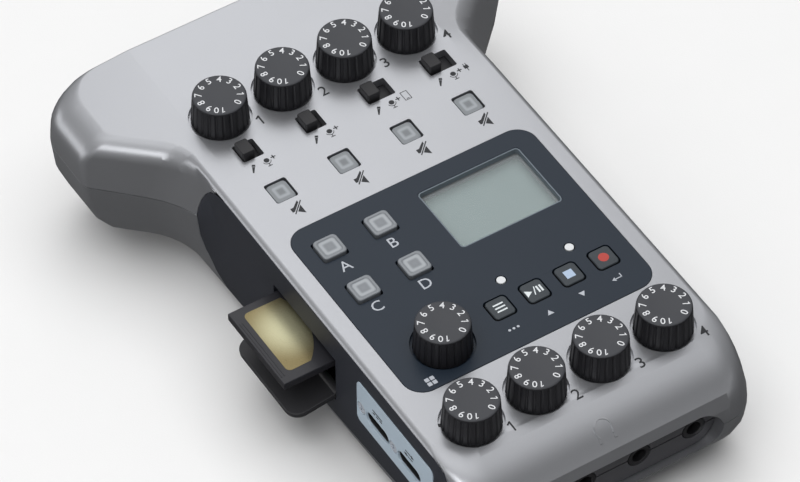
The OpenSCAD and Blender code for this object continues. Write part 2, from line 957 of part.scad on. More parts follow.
// power slider on the right plate, resting at its front end
module power_switch() {
    color("black") seat() translate([body_half, power_y, plate_z]) rotate([0, 90, 0]) {
        plate(2.8, 3, 0.4, -plate_in - 0.6, 1.4);
        plate(5, 6 + power_travel, 0.6, -plate_in - 0.8, -plate_in - 0.2);
    }
}

module card_socket() {
    y0 = card_y - card_width / 2;
    y1 = card_y + card_width / 2;
    inner = -body_half + card_length - card_out + 14.4 + 0.6;
    color("silver") seat() difference() {
        block(-body_half + 3.2, inner + 1, y0 - 1, y1 + 1, main_top, card_top + 0.5);
        block(-body_half, inner, y0 - 0.2, y1 + 0.2, card_top - card_thickness - 0.25, card_top + 0.2);
    }
}

// memory card with its cut corner, half drawn out of the bay
module memory_card() {
    x0 = -body_half - card_out;
    color("black") seat() translate([0, card_y, 0]) difference() {
        block(x0, x0 + card_length, -card_width / 2, card_width / 2, card_top - card_thickness, card_top);
        translate([x0 + card_length, card_width / 2, card_top - 5]) rotate([0, 0, 45])
            cube([5.6, 5.6, 20], center = true);
    }
}

// card door turned open on its pin
module card_door() {
    high = door_high - hinge_z;
    color("black") seat() translate([hinge_x, bay_y, hinge_z]) rotate([0, -door_open, 0]) difference() {
        union() {
            bar_y(hinge_r, -door_w / 2, door_w / 2);
            block(-1, door_thick - 1, -door_w / 2, door_w / 2, 0, high - door_corner);
            translate([-1, 0, high / 2 + 1]) rotate([0, 90, 0])
                plate(high - 2, door_w, door_corner, 0, door_thick);
        }
        bar_y(pin_r + run_gap, -door_w, door_w);
    }
}

module card_door_pin() {
    color("silver") seat() translate([hinge_x, bay_y, hinge_z])
        bar_y(pin_r, -bay_w / 2 - 2, bay_w / 2 + 2);
}

// round bar on the hinge line of the battery door
module door_bar(r, half) {
    translate([-half, door_axis_y, door_axis_z]) rotate([0, 90, 0]) cylinder(r = r, h = 2 * half);
}

// battery door with a round hinge edge and a pin at each end
module battery_door() {
    color("gray") union() {
        block(-bay_half_x + 0.25, bay_half_x - 0.25, door_axis_y, door_rear - 0.25,
            foot_height, foot_height + door_plate);
        door_bar(door_plate / 2, bay_half_x - 0.25);
        door_bar(pin_r, bay_half_x + 0.9);
    }
}

// two cells side by side across the case
module battery_cells() {
    color("gold") for (y = cell_y) {
        translate([0, y, cell_z]) rotate([0, 90, 0]) {
            drum(cell_diameter / 2, -cell_length / 2, cell_length / 2 - 1.2);
            drum(2.75, -cell_length / 2, cell_length / 2);
        }
    }
}

module rubber_feet() {
    color("black") for (p = foot_at) {
        translate([p[0], p[1], 0]) drum(foot_r, 0, foot_height);
    }
}

module case_screws() {
    color("gainsboro") for (p = screw_at) {
        translate([p[0], p[1], 0]) difference() {
            union() {
                drum(2.9, foot_height + 0.4, foot_height + 2);
                drum(1.5, foot_height + 1, foot_height + 8.6);
            }
            plate(3.2, 0.8, 0.2, foot_height, foot_height + 1.1);
            plate(0.8, 3.2, 0.2, foot_height, foot_height + 1.1);
        }
    }
}

top_cover();
bottom_case();
side_panel_left();
side_panel_right();
front_jack_panel();
rear_socket_panel();
display_panel();
display_window();
lcd_module();
indicator_lights();
gain_knob_1();
gain_knob_2();
gain_knob_3();
gain_knob_4();
pad_level_knob();
phones_knob_1();
phones_knob_2();
phones_knob_3();
phones_knob_4();
input_switch_1();
input_switch_2();
input_switch_3();
input_switch_4();
mute_key_1();
mute_key_2();
mute_key_3();
mute_key_4();
sound_pad_a();
sound_pad_b();
sound_pad_c();
sound_pad_d();
menu_key();
play_key();
stop_key();
record_key();
potentiometers();
slide_switch_bodies();
key_switches();
control_board();
main_board();
xlr_socket_1();
xlr_socket_2();
xlr_socket_3();
xlr_socket_4();
headphone_sockets();
phone_socket();
usb_power_socket();
usb_data_socket();
port_plate_left();
port_plate_right();
plate_screws();
power_switch();
card_socket();
memory_card();
card_door();
card_door_pin();
battery_door();
battery_cells();
rubber_feet();
case_screws();
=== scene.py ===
import math

import bmesh
import bpy
from mathutils import Matrix, Vector
from mathutils.bvhtree import BVHTree


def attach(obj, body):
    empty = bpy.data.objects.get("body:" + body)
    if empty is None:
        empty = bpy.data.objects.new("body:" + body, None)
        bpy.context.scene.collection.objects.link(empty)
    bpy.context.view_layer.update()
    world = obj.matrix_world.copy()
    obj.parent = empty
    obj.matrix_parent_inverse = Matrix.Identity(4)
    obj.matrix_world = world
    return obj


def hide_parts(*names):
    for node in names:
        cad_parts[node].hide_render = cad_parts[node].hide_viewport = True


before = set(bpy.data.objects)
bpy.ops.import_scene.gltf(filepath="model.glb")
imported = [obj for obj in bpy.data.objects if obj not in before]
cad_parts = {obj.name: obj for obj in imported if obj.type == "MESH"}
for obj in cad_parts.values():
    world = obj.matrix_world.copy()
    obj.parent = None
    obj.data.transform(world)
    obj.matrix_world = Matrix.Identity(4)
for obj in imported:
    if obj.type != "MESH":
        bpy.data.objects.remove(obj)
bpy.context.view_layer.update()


# Studio: a pale paper floor under soft boxes, and the camera where the photograph was taken.
# The control panel slopes 4 degrees to the front, so places on it are given in its own frame,
# in millimetres, and brought to the table by the matrix called panel.
MM = 0.001
panel_slope, panel_origin = 4, (0, -0.00155208, 0.03580235)
slope = Matrix.Rotation(math.radians(panel_slope), 4, "X")
panel = Matrix.Translation(panel_origin) @ slope @ Matrix.Scale(MM, 4)
table = Matrix.Scale(MM, 4)
scene = bpy.context.scene
scene.view_settings.view_transform = "Standard"

azimuth, rise, roll = (math.radians(a) for a in (-32.04, 48.742, 0.266))
back = Vector((math.sin(azimuth) * math.cos(rise), -math.cos(azimuth) * math.cos(rise), math.sin(rise)))
right = Vector((math.cos(azimuth), math.sin(azimuth), 0))
up = back.cross(right)
across = right * math.cos(roll) - up * math.sin(roll)
upward = right * math.sin(roll) + up * math.cos(roll)
aim, aside, above, distance = Vector((0, 3, 0)), -4.442, -9.353, 1126.697
stand = aim + across * aside + upward * above + back * distance
camera = bpy.data.objects.new("camera", bpy.data.cameras.new("camera"))
camera.data.sensor_width = 36
camera.data.lens = 228.37
camera.data.clip_end = 20
camera.matrix_world = (Matrix.Translation(panel @ stand) @ slope
                       @ Matrix((across, upward, back)).transposed().to_4x4())
scene.collection.objects.link(camera)
scene.camera = camera


def soft_box(name, place, target, wide, tall, power, tint=(1, 1, 1)):
    """An area light that faces its target."""
    lamp = bpy.data.lights.new(name, "AREA")
    lamp.shape = "RECTANGLE"
    lamp.size, lamp.size_y, lamp.energy, lamp.color = wide, tall, power, tint
    box = bpy.data.objects.new(name, lamp)
    box.matrix_world = (Matrix.Translation(place)
                        @ (Vector(place) - Vector(target)).to_track_quat("Z", "Y").to_matrix().to_4x4())
    scene.collection.objects.link(box)
    return box


soft_box("rear_box", (0.18, 0.385, 0.487), (-0.03, 0.05, 0.036), 0.26, 0.4, 0.23)
soft_box("left_backdrop", (-0.83, 0.56, 0.12), (0, 0, 0.03), 1.0, 0.24, 0.75)
soft_box("front_left_box", (-0.66, -0.44, 0.66), (0, 0, 0.03), 0.5, 0.35, 1.2)
soft_box("front_strip", (0.45, -0.85, 0.36), (0, 0, 0.03), 1.0, 0.16, 0.15)
soft_box("ceiling", (0, 0, 2.2), (0, 0, 0), 3.0, 3.0, 58).visible_glossy = False


class Tone:
    """A socket of one material's node tree. Sums and products of sockets add Math nodes."""

    def __init__(self, tree, socket=None):
        self.tree = tree
        self.socket = socket

    def make(self, kind, settings=None, inputs=None, output=0):
        """Adds a node: its settings first, then the values or links of its sockets."""
        node = self.tree.nodes.new(kind)
        for name, value in (settings or {}).items():
            if name == "stops":
                for at, colour in value[2:]:
                    node.color_ramp.elements.new(at)
                for stop, (at, colour) in zip(node.color_ramp.elements, sorted(value)):
                    stop.position, stop.color = at, (*colour, 1)
            else:
                setattr(node, name, value)
        for name, value in (inputs or {}).items():
            if isinstance(value, Tone):
                self.tree.links.new(value.socket, node.inputs[name])
            else:
                node.inputs[name].default_value = value
        return Tone(self.tree, node.outputs[output])

    def maths(self, operation, first, second=0.0):
        """Adds a Math node."""
        return self.make("ShaderNodeMath", {"operation": operation}, {0: first, 1: second})

    def __add__(self, other):
        return self.maths("ADD", self, other)

    def __radd__(self, other):
        return self.maths("ADD", other, self)

    def __sub__(self, other):
        return self.maths("SUBTRACT", self, other)

    def __rsub__(self, other):
        return self.maths("SUBTRACT", other, self)

    def __mul__(self, other):
        return self.maths("MULTIPLY", self, other)

    def __rmul__(self, other):
        return self.maths("MULTIPLY", other, self)

    def __gt__(self, other):
        return self.maths("GREATER_THAN", self, other)

    def __lt__(self, other):
        return self.maths("LESS_THAN", self, other)

    def noise(self, place, scale, detail=2.0):
        """Adds a noise texture."""
        return self.make("ShaderNodeTexNoise", {}, {"Vector": place, "Scale": scale, "Detail": detail})

    def blend(self, factor, first, second):
        """A colour between two colours."""
        return self.make("ShaderNodeMix", {"data_type": "RGBA"},
                         {"Factor": factor, 6: first, 7: second}, 2)


def coating(name, base, rough, metal=0.0, cloud=0.04, grain=0.05, grain_size=0.12, relief=0.02,
            other=None, share=None, **fixed):
    """A moulded or painted finish: a soft cloud and a fine grain in its colour, gloss and relief.
    The function share, if given, tells from a place how much of the other colour shows there."""
    material = bpy.data.materials.new(name)
    material.use_nodes = True
    tree = material.node_tree
    shader = tree.nodes["Principled BSDF"]
    tone = Tone(tree)
    place = tone.make("ShaderNodeTexCoord", output="Object")
    fine = tone.noise(place, 1 / (grain_size * MM), 3.0)
    cloud_scale, gloss_spread = 90.0, 0.2
    broad = tone.noise(place, cloud_scale)
    amount = (fine - 0.5) * (2 * grain) + (broad - 0.5) * (2 * cloud) + 0.5
    low, high = (tuple(min(c * k, 1) for c in base) + (1,) for k in (0.5, 1.5))
    colour = tone.blend(amount, low, high)
    if share:
        colour = tone.blend(share(tone, place), colour, (*other, 1))
    tree.links.new(colour.socket, shader.inputs["Base Color"])
    tree.links.new(((fine - 0.5) * gloss_spread + rough).socket, shader.inputs["Roughness"])
    bump = tone.make("ShaderNodeBump", {}, {"Strength": 1.0, "Distance": relief * MM, "Height": fine})
    tree.links.new(bump.socket, shader.inputs["Normal"])
    shader.inputs["Metallic"].default_value = metal
    for socket, value in fixed.items():
        shader.inputs[socket.replace("_", " ").title().replace("Ior", "IOR")].default_value = value
    return material


paper = coating("floor_paper", (0.96, 0.96, 0.96), 0.9, cloud=0.01, grain=0.01, grain_size=0.4)
sweep = bmesh.new()
bmesh.ops.create_grid(sweep, x_segments=8, y_segments=8, size=4)
sheet = bpy.data.meshes.new("floor")
sweep.to_mesh(sheet)
sweep.free()
sheet.materials.append(paper)
floor = bpy.data.objects.new("floor", sheet)
floor.visible_glossy = False
scene.collection.objects.link(floor)

world = bpy.data.worlds.new("studio")
world.use_nodes = True
scene.world = world
sky = Tone(world.node_tree)
toward = [sky.make("ShaderNodeSeparateXYZ", {}, {0: sky.make("ShaderNodeTexCoord", output="Normal")}, k)
          for k in range(3)]
sky_greys = ((0.0, 0.1), (1.0, 1.5), (0.4, 0.13), (0.5, 0.24), (0.65, 0.34), (0.86, 0.46), (0.93, 0.85))
glow = sky.make("ShaderNodeValToRGB", {"stops": [(at, (grey,) * 3) for at, grey in sky_greys]},
                {0: 0.5 - toward[2] * 0.5})
lean = toward[0] * 0.12 - toward[1] * 0.45 + 1
world.node_tree.links.new((glow * lean).socket, world.node_tree.nodes["Background"].inputs["Color"])
world.node_tree.nodes["Background"].inputs["Strength"].default_value = 0.62


# Bottom case: one moulded tub, sprayed with satin silver metallic paint.
# It meets the top cover in a fine groove and carries everything else.
def solid_copy(node, at=panel):
    """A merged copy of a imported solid, in millimetres, its flat faces joined."""
    shape = bmesh.new()
    shape.from_mesh(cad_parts[node].data)
    bmesh.ops.transform(shape, matrix=at.inverted(), verts=shape.verts)
    bmesh.ops.remove_doubles(shape, verts=shape.verts, dist=0.002)
    bmesh.ops.dissolve_limit(shape, angle_limit=math.radians(0.15), use_dissolve_boundaries=False,
                             verts=shape.verts, edges=shape.edges, delimit=set())
    return shape


def soften(shape, edges, width, steps=2, clamp=True):
    """Rounds off edges."""
    bmesh.ops.bevel(shape, geom=edges, offset=width, offset_type="OFFSET", affect="EDGES",
                    segments=steps, profile=0.5, material=-1, clamp_overlap=clamp, loop_slide=True)


def sharp_edges(shape, least=40):
    """Edges between two faces that turn outwards by more than an angle."""
    return [e for e in shape.edges
            if len(e.link_faces) == 2 and e.calc_face_angle_signed(0) > math.radians(least)]


def piece(name, shape, body, slot, finishes, *nodes, at=panel, crease=35):
    """Makes an object of a shape in millimetres, rides it on its body and hides the nodes it stands for."""
    bmesh.ops.transform(shape, matrix=at, verts=shape.verts)
    mesh = bpy.data.meshes.new(name)
    shape.to_mesh(mesh)
    shape.free()
    for finish in finishes if isinstance(finishes, (list, tuple)) else [finishes]:
        mesh.materials.append(finish)
    mesh.shade_smooth()
    mesh.set_sharp_from_angle(angle=math.radians(crease))
    thing = bpy.data.objects.new(name, mesh)
    scene.collection.objects.link(thing)
    thing.modifiers.new("even shading", "WEIGHTED_NORMAL").keep_sharp = True
    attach(thing, body)
    if nodes:
        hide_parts(*nodes)
    return thing


window_x, window_rear, window_top = 33.4, 37, -0.5


def window_edges(shape):
    """The outer edges of the two side openings that hold the dark inserts."""
    return [e for e in sharp_edges(shape, 50)
            if all(abs(v.co.x) > window_x and v.co.y < window_rear and v.co.z < window_top
                   for v in e.verts)
            and max(abs(f.normal.x) for f in e.link_faces) > 0.6]


silver = coating("silver_paint", (0.585, 0.597, 0.63), 0.33, 0.9, 0.015, 0.07, 0.1, 0.003)
parting, gap = -13, 0.12
tub = solid_copy("bottom_case")
lip = [v for v in tub.verts if abs(v.co.z - parting) < 0.02]
bmesh.ops.translate(tub, vec=(0, 0, -gap), verts=lip)
soften(tub, [e for e in sharp_edges(tub, 60) if all(v in lip for v in e.verts)], 0.16)
soften(tub, window_edges(tub), 0.22, clamp=False)
piece("case_tub", tub, "case", "case_silver", silver, "bottom_case")


# Top cover: the moulded upper shell with all control openings, in the same silver paint.
# Every opening has a fine rounded rim, and the wings fall away slightly from a crease on each side.
shell = solid_copy("top_cover")
crease_x, crease_front, crease_low = 32, 36, -1
wing_slope, wing_start, wing_end, wing_depth = 0.083, 30, 46, 10
cuts = [((side * crease_x, 0, 0), (1, 0, 0)) for side in (-1, 1)]
cuts += [((0, y, 0), (0, 1, 0)) for y in range(wing_start, wing_end + 1, 4)]
for place, normal in cuts:
    bmesh.ops.bisect_plane(shell, geom=shell.verts[:] + shell.edges[:] + shell.faces[:], dist=0.0001,
                           plane_co=place, plane_no=normal)
lip = [v for v in shell.verts if abs(v.co.z - parting) < 0.02]
bmesh.ops.translate(shell, vec=(0, 0, gap), verts=lip)
rims = [e for e in sharp_edges(shell, 60)
        if all(v in lip for v in e.verts) or all(abs(v.co.z) < 0.02 for v in e.verts)]
soften(shell, rims, 0.18)
soften(shell, window_edges(shell), 0.22, clamp=False)
for v in shell.verts:
    height = min(max((v.co.z - parting) / wing_depth, 0), 1)
    onset = min(max((v.co.y - wing_start) / (wing_end - wing_start), 0), 1)
    v.co.z -= wing_slope * max(abs(v.co.x) - crease_x, 0) * height * onset
cover_top = BVHTree.FromBMesh(shell)
cover = piece("cover_shell", shell, "case", "case_silver", silver, "top_cover")
for e in cover.data.edges:
    ends = [panel.inverted() @ cover.data.vertices[k].co for k in e.vertices]
    e.use_edge_sharp |= all(abs(abs(p.x) - crease_x) < 0.01 and p.y > crease_front and p.z > crease_low
                            for p in ends)


# Rubber feet, case screws and battery door: discs of soft rubber glued under the tub, four cross
# head screws in counterbores, and a ribbed hatch that swings down on its front edge.
def dress(name, node, body, slot, finish, edge=0.12, at=panel, least=40):
    """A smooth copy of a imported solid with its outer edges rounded."""
    shape = solid_copy(node, at)
    if edge:
        soften(shape, sharp_edges(shape, least), edge)
    return piece(name, shape, body, slot, finish, node, at=at)


def join(shape, part, at=Matrix()):
    """Adds a part to a shape and frees it."""
    bmesh.ops.transform(part, matrix=at, verts=part.verts)
    mesh = bpy.data.meshes.new("part")
    part.to_mesh(mesh)
    part.free()
    shape.from_mesh(mesh)
    bpy.data.meshes.remove(mesh)


def rounded_block(wide, long, low, high, corner, edge, steps=3):
    """A block with rounded corners in plan and a softened top edge."""
    shape = bmesh.new()
    bmesh.ops.create_cube(shape, size=1, matrix=Matrix.Translation((0, 0, (low + high) / 2))
                          @ Matrix.Diagonal((wide, long, high - low, 1)))
    soften(shape, [e for e in shape.edges if abs(e.verts[0].co.z - e.verts[1].co.z) > 0.01], corner, 6)
    if edge:
        soften(shape, [e for e in sharp_edges(shape) if min(v.co.z for v in e.verts) > high - 0.001],
               edge, steps)
    return shape


def disc(radius, low, high, edge=0.0, segments=48):
    """A round plug with a softened top edge."""
    shape = bmesh.new()
    bmesh.ops.create_cone(shape, cap_ends=True, segments=segments, radius1=radius, radius2=radius,
                          depth=high - low, matrix=Matrix.Translation((0, 0, (low + high) / 2)))
    if edge:
        soften(shape, [e for e in sharp_edges(shape) if min(v.co.z for v in e.verts) > high - 0.001], edge, 3)
    return shape


def move(x, y, z=0.0):
    """A matrix that moves by three lengths."""
    return Matrix.Translation((x, y, z))


rubber = coating("foot_rubber", (0.03, 0.03, 0.031), 0.8, grain=0.12, grain_size=0.2, relief=0.03)
feet = bmesh.new()
upside_down = Matrix.Rotation(math.pi, 4, "X")
foot_radius, foot_height = 6, 1
for x, y in ((-20, -50), (20, -50), (-22, 60), (22, 60)):
    join(feet, disc(foot_radius, 0, foot_height, 0.3), move(x, y, foot_height) @ upside_down)
piece("feet", feet, "case", "foot_rubber", rubber, "rubber_feet", at=table)

bright = coating("bright_metal", (0.62, 0.63, 0.64), 0.28, 1.0, 0.03, 0.05, 0.05, 0.003)
dress("tub_screws", "case_screws", "case", "bright_metal", bright, 0.1, table)

hatch_grey = coating("hatch_grey", (0.5, 0.51, 0.53), 0.5, grain=0.08, grain_size=0.15, relief=0.02)
hatch = solid_copy("battery_door", table)
soften(hatch, sharp_edges(hatch), 0.2, 3)
rib_rear, rib_pitch, rib_width, hatch_face = 40.5, 1.7, 16, 1
for k in range(7):
    rib = rounded_block(rib_width - k, 0.9, 0, 0.35, 0.3, 0.2)
    join(hatch, rib, move(0, rib_rear - rib_pitch * k, hatch_face) @ upside_down)
piece("battery_hatch", hatch, "battery_door_body", "door_grey", hatch_grey, "battery_door", at=table)


# Boards, controls and cells inside the case: green laminate with copper runs, black moulded
# bodies soldered on it, a plated card holder and two sleeved cells.
def repaint(node, finish):
    """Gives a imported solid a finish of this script."""
    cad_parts[node].data.materials.clear()
    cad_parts[node].data.materials.append(finish)


laminate = coating(
    "board_laminate", (0.016, 0.11, 0.043), 0.35, grain=0.05, coat_weight=0.4, other=(0.06, 0.2, 0.08),
    share=lambda tone, place: tone.make("ShaderNodeTexBrick", {"offset": 0.37},
                                        {"Vector": place, "Scale": 120.0, "Mortar Size": 0.03}, 1))
for node in ("control_board", "main_board"):
    repaint(node, laminate)
housing = coating("control_housing", (0.1, 0.1, 0.11), 0.5, grain=0.08)
for node in ("potentiometers", "slide_switch_bodies", "key_switches"):
    repaint(node, housing)
repaint("card_socket", bright)
copper_end = 12 * MM
sleeve = coating(
    "cell_sleeve", (0.016, 0.016, 0.018), 0.3, 0.6, other=(0.5, 0.3, 0.1),
    share=lambda tone, place: tone.make("ShaderNodeSeparateXYZ", {}, {0: place}) > copper_end)
repaint("battery_cells", sleeve)


# Rear wall and microphone sockets: a dark moulded plate with four round black sockets, each with
# a recessed insert and three contact holes.
black = coating("socket_black", (0.018, 0.018, 0.02), 0.42, grain=0.1, grain_size=0.15, relief=0.012)
wall_dark = coating("wall_dark", (0.027, 0.03, 0.04), 0.5, grain=0.14, grain_size=0.14, relief=0.02)
dress("rear_wall", "rear_socket_panel", "case", "dark_wall", wall_dark, 0.25)
for i in range(4):
    dress(f"microphone_socket_{i + 1}", f"xlr_socket_{i + 1}", "case", "socket_black", black, 0.3)


# Headphone strip: a dark moulded capsule plate set back in the opening of the nose.
# Four small sockets stand in a row on the groove that runs along it.
strip_grey = coating("strip_grey", (0.06, 0.06, 0.067), 0.5, grain=0.12, grain_size=0.14, relief=0.015)
dress("headphone_strip", "front_jack_panel", "case", "dark_wall", strip_grey, 0.12)
dress("headphone_jacks", "headphone_sockets", "case", "socket_black", black, 0.25)


# Side walls: dark textured inserts between the shells, the left one with the card bay, and a
# blue grey plate screwed on each side. The left plate holds the power and data sockets, the right
# one the telephone socket and the power slider.
for side in ("left", "right"):
    dress(side + "_wall", "side_panel_" + side, "case", "dark_wall", wall_dark, 0.3)
plate_blue = coating("plate_blue", (0.5, 0.6, 0.77), 0.4, 0.2, grain=0.05, relief=0.005)
for side in ("left", "right"):
    dress(side + "_plate", "port_plate_" + side, "case", "plate_blue", plate_blue, 0.12)
nickel = coating("plate_nickel", (0.5, 0.54, 0.6), 0.45, 0.3, grain=0.05, grain_size=0.08, relief=0.004)
dress("plate_fixings", "plate_screws", "case", "bright_metal", nickel, 0.06)
shell_dark = coating("socket_shell", (0.06, 0.06, 0.064), 0.4, 0.7, grain=0.06, relief=0.004)
dress("power_inlet", "usb_power_socket", "case", "bright_metal", shell_dark, 0.05)
dress("data_socket", "usb_data_socket", "case", "bright_metal", shell_dark, 0.05)
dress("telephone_socket", "phone_socket", "case", "socket_black", black, 0.2)
dress("power_slider", "power_switch", "power_switch_body", "switch_black", black, 0.2)


# Card bay: a black moulded memory card with a gold printed label, half drawn out of its socket.
# The soft black door below it hangs open on a thin pin.
card_black = coating("card_black", (0.02, 0.02, 0.024), 0.32, grain=0.08, grain_size=0.2, relief=0.01)
card = solid_copy("memory_card")
soften(card, sharp_edges(card), 0.25)
card_top = -10.5
for x in (-48.3, -47.6):
    join(card, rounded_block(0.25, 18, 0, 0.1, 0.1, 0.05), move(x, -8, card_top))
piece("card", card, "memory_card_body", "card_black", card_black, "memory_card")

# The gold label carries painted light: lighter around one spot and darker brown away from it, a painted
# highlight and painted reflection.
painted_highlight_spot = panel @ Vector((-39.3, -5.5, card_top))
gold = coating(
    "card_gold_painted_highlight", (0.74, 0.66, 0.43), 0.3, 0.85, 0.03, 0.03, 0.08, 0.002, other=(0.2, 0.145, 0.055),
    share=lambda tone, place: tone.make(
        "ShaderNodeMapRange", {"interpolation_type": "SMOOTHSTEP"},
        {"Value": tone.make("ShaderNodeVectorMath", {"operation": "DISTANCE"}, {0: place, 1: painted_highlight_spot}, 1),
         "From Min": 0.0015, "From Max": 0.0105, "To Max": 0.85}))
label = bmesh.new()
label_left, label_front, label_rear, label_corner = -46.4, -16.4, 2.9, 1.3
arc_x, arc_y, arc_radius, arc_start, arc_sweep, arc_steps = -51.7, -4.2, 16.5, 25, 72, 16
turns = [math.radians(arc_start - arc_sweep * k / arc_steps) for k in range(arc_steps + 1)]
arc = [(arc_x + arc_radius * math.cos(a), arc_y + arc_radius * math.sin(a)) for a in turns]
outline = [label.verts.new((x, y, card_top))
           for x, y in [(label_left, label_front), (label_left, label_rear), *arc]]
label.faces.new(outline)
bmesh.ops.bevel(label, geom=outline[:2], offset=label_corner, affect="VERTICES", segments=6,
                profile=0.5, material=-1)
lift = bmesh.ops.extrude_face_region(label, geom=label.faces[:])
bmesh.ops.translate(label, vec=(0, 0, 0.04),
                    verts=[v for v in lift["geom"] if isinstance(v, bmesh.types.BMVert)])
bmesh.ops.recalc_face_normals(label, faces=label.faces)
piece("card_label", label, "memory_card_body", "card_black", gold)

door_black = coating("door_black", (0.03, 0.03, 0.033), 0.45, grain=0.1, grain_size=0.2, relief=0.015)
dress("card_flap", "card_door", "card_door_body", "door_black", door_black, 0.3)
dress("flap_pin", "card_door_pin", "case", "socket_black", black, 0.1)


# Display panel: a slate grey moulded plate let into the cover, with a clear window over the display.
# Two round milky light guides stand in it above the transport keys.
slate = coating("panel_slate", (0.011, 0.018, 0.029), 0.42, grain=0.06, grain_size=0.1, relief=0.004)
dress("slate_panel", "display_panel", "case", "panel_slate", slate, 0.12)
clear = coating("window_clear", (0.75, 0.85, 0.85), 0.08, grain=0.0, relief=0.0, alpha=0.12)
repaint("display_window", clear)
film = coating("display_film", (0.13, 0.195, 0.195), 0.35, grain=0.02, grain_size=0.3, relief=0.0)
repaint("lcd_module", film)
milk = coating("lamp_milk", (0.6, 0.615, 0.63), 0.3, grain=0.01)
lamps = bmesh.new()
lamp_row = -26.65
for x in (2.2, 20.1):
    join(lamps, disc(1.05, -8.2, 0.15, 0.12), move(x, lamp_row))
piece("lamps", lamps, "case", "lamp_white", milk, "indicator_lights")


# Display bezel and liner: two light grey moulded frames, one in the window opening of the panel
# and one under the clear window, that line the way down to the display.
def rounded_outline(wide, long, corner, steps=5):
    """Points around a rounded rectangle, counted from its right side."""
    points = []
    for quarter, (sx, sy) in enumerate(((1, 1), (-1, 1), (-1, -1), (1, -1))):
        for k in range(steps + 1):
            turn = math.pi / 2 * (quarter + k / steps)
            points.append((sx * (wide / 2 - corner) + corner * math.cos(turn),
                           sy * (long / 2 - corner) + corner * math.sin(turn)))
    return points


def frame_shape(wide, long, corner, thick, low, high):
    """A rounded frame, open in the middle."""
    shape = bmesh.new()
    loops = []
    for inset, z in ((0, low), (0, high), (thick, high), (thick, low)):
        loops.append([shape.verts.new((*p, z))
                      for p in rounded_outline(wide - 2 * inset, long - 2 * inset, corner - inset)])
    for a, b in zip(loops, loops[1:] + loops[:1]):
        for k in range(len(a)):
            shape.faces.new((a[k - 1], a[k], b[k], b[k - 1]))
    bmesh.ops.recalc_face_normals(shape, faces=shape.faces)
    return shape


bezel_grey = coating("bezel_grey", (0.125, 0.15, 0.175), 0.5, grain=0.05, relief=0.004)
window_place = (13.4, -4.9, 0)
bezel = frame_shape(26.76, 18.96, 1.2, 0.3, -1.45, -0.02)
bmesh.ops.translate(bezel, vec=window_place, verts=bezel.verts)
piece("display_bezel", bezel, "case", "panel_slate", bezel_grey)
liner = frame_shape(29.6, 21.8, 2.6, 1.7, -3.26, -2.44)
bmesh.ops.translate(liner, vec=window_place, verts=liner.verts)
liner_grey = coating("liner_grey", (0.3, 0.34, 0.37), 0.5, grain=0.04, relief=0.004)
piece("display_liner", liner, "case", "panel_slate", liner_grey)


# Keys: moulded silicone caps, clear over a light on the mute keys and sound pads, grey on the
# transport keys. Each has a flange under the cover and a stem that reaches its switch. Painted
# light is kept on the vertices: a painted glow under each clear cap and painted highlights on its
# rounded top edge.
def loop_stack(rings):
    """A closed solid over rounded rectangles, lowest first: width, length, corner, height, painted light."""
    shape = bmesh.new()
    glow = shape.verts.layers.float.new("glow")
    loops = []
    for wide, long, corner, height, painted_light in rings:
        loops.append([shape.verts.new((*p, height)) for p in rounded_outline(wide, long, corner)])
        for v in loops[-1]:
            v[glow] = painted_light
    for low, high in zip(loops, loops[1:]):
        for k in range(len(low)):
            shape.faces.new((low[k - 1], low[k], high[k], high[k - 1]))
    shape.faces.new(loops[0])
    shape.faces.new(loops[-1])
    bmesh.ops.recalc_face_normals(shape, faces=shape.faces)
    return shape


def key_shape(wide, long, top, under, corner, lights, dish=0.0):
    """A key from its stem up. Each painted light is a share of the width and a painted brightness."""
    flange, flange_corner, stem_radius, stem_end = 1.4, 0.8, 1.5, -4.4
    # The side and the rounded top edge get painted highlights, the inner rings the painted glow.
    rings = [(wide + flange, long + flange, flange_corner, under - 1.1, 0.0),
             (wide + flange, long + flange, flange_corner, under - 0.3, 0.0),
             (wide, long, corner, under - 0.3, 0.0),
             (wide, long, corner, top - 0.3, 0.15),
             (wide - 0.12, long - 0.12, corner, top - 0.12, 0.35),
             (wide - 0.4, long - 0.4, corner, top, 0.45)]
    rings += [(wide * k, long * k, max(corner * k, 0.15), top - (dish if k < 0.75 else 0.0), painted_light)
              for k, painted_light in lights]
    shape = loop_stack(rings)
    join(shape, disc(stem_radius, stem_end, under - 0.6))
    return shape


def lit(tone, place):
    """The painted light that is kept on the vertices."""
    return tone.make("ShaderNodeAttribute", {"attribute_name": "glow"}, {}, 2)


channel_pitch = 16.5
channels = [channel_pitch * k for k in (-1.5, -0.5, 0.5, 1.5)]
mute_row = 21.7
# The clear caps take the lighter colour where the painted light is high.
mute_clear = coating("mute_clear", (0.11, 0.12, 0.13), 0.35, grain=0.03, relief=0.003, coat_weight=0.4,
                     coat_roughness=0.2, other=(0.27, 0.29, 0.31), share=lit)
mute_painted_light = ((0.8, 0.35), (0.66, 0.45), (0.58, 0.9), (0.46, 1.0), (0.36, 0.7), (0.24, 0.25), (0.08, 0.2))
for i, x in enumerate(channels):
    node = f"mute_key_{i + 1}"
    mute = key_shape(5.1, 5.8, -0.35, -2.2, 0.9, mute_painted_light)
    bmesh.ops.translate(mute, vec=(x, mute_row, 0), verts=mute.verts)
    piece(f"mute_button_{i + 1}", mute, node + "_body", "key_smoke", mute_clear, node)
